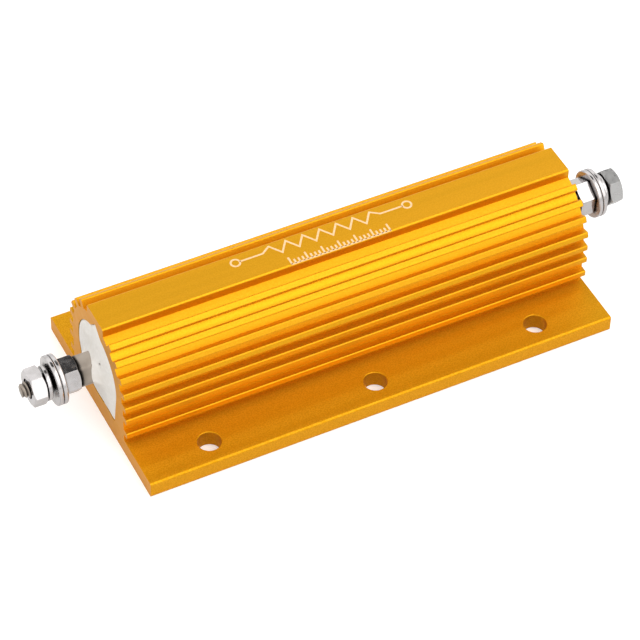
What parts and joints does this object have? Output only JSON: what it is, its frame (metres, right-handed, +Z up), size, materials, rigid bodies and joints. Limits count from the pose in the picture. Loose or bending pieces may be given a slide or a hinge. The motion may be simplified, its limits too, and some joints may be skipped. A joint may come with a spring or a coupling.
{
  "type": "wirewound resistor",
  "caption": "Wirewound power resistor cemented into a finned aluminium housing with a flanged base and screw terminals.",
  "frame": {"origin": "middle of the flat mounting face under the base", "axes": "+X along the housing and its terminals, +Y across the base, +Z up from the mounting face"},
  "size_m": [0.1286, 0.0474, 0.026],
  "materials": {
    "anodised_aluminium": "gold anodised, satin",
    "cement": "matte, uneven",
    "ceramic": "matte",
    "plated_steel": "bright nickel plated",
    "resistance_wire": "dull"
  },
  "bodies": {
    "root": {"housing": "anodised_aluminium", "ceramic_core": "ceramic", "resistance_winding": "resistance_wire", "core_filling": "cement", "left_end_cap": "plated_steel", "left_end_seal": "cement", "left_terminal_stud": "plated_steel", "left_inner_nut": "plated_steel", "left_inner_washer": "plated_steel", "left_outer_washer": "plated_steel", "left_spring_washer": "plated_steel", "left_outer_nut": "plated_steel", "right_end_cap": "plated_steel", "right_end_seal": "cement", "right_terminal_stud": "plated_steel", "right_inner_nut": "plated_steel", "right_inner_washer": "plated_steel", "right_outer_washer": "plated_steel", "right_spring_washer": "plated_steel", "right_outer_nut": "plated_steel"}
  },
  "joints": []
}
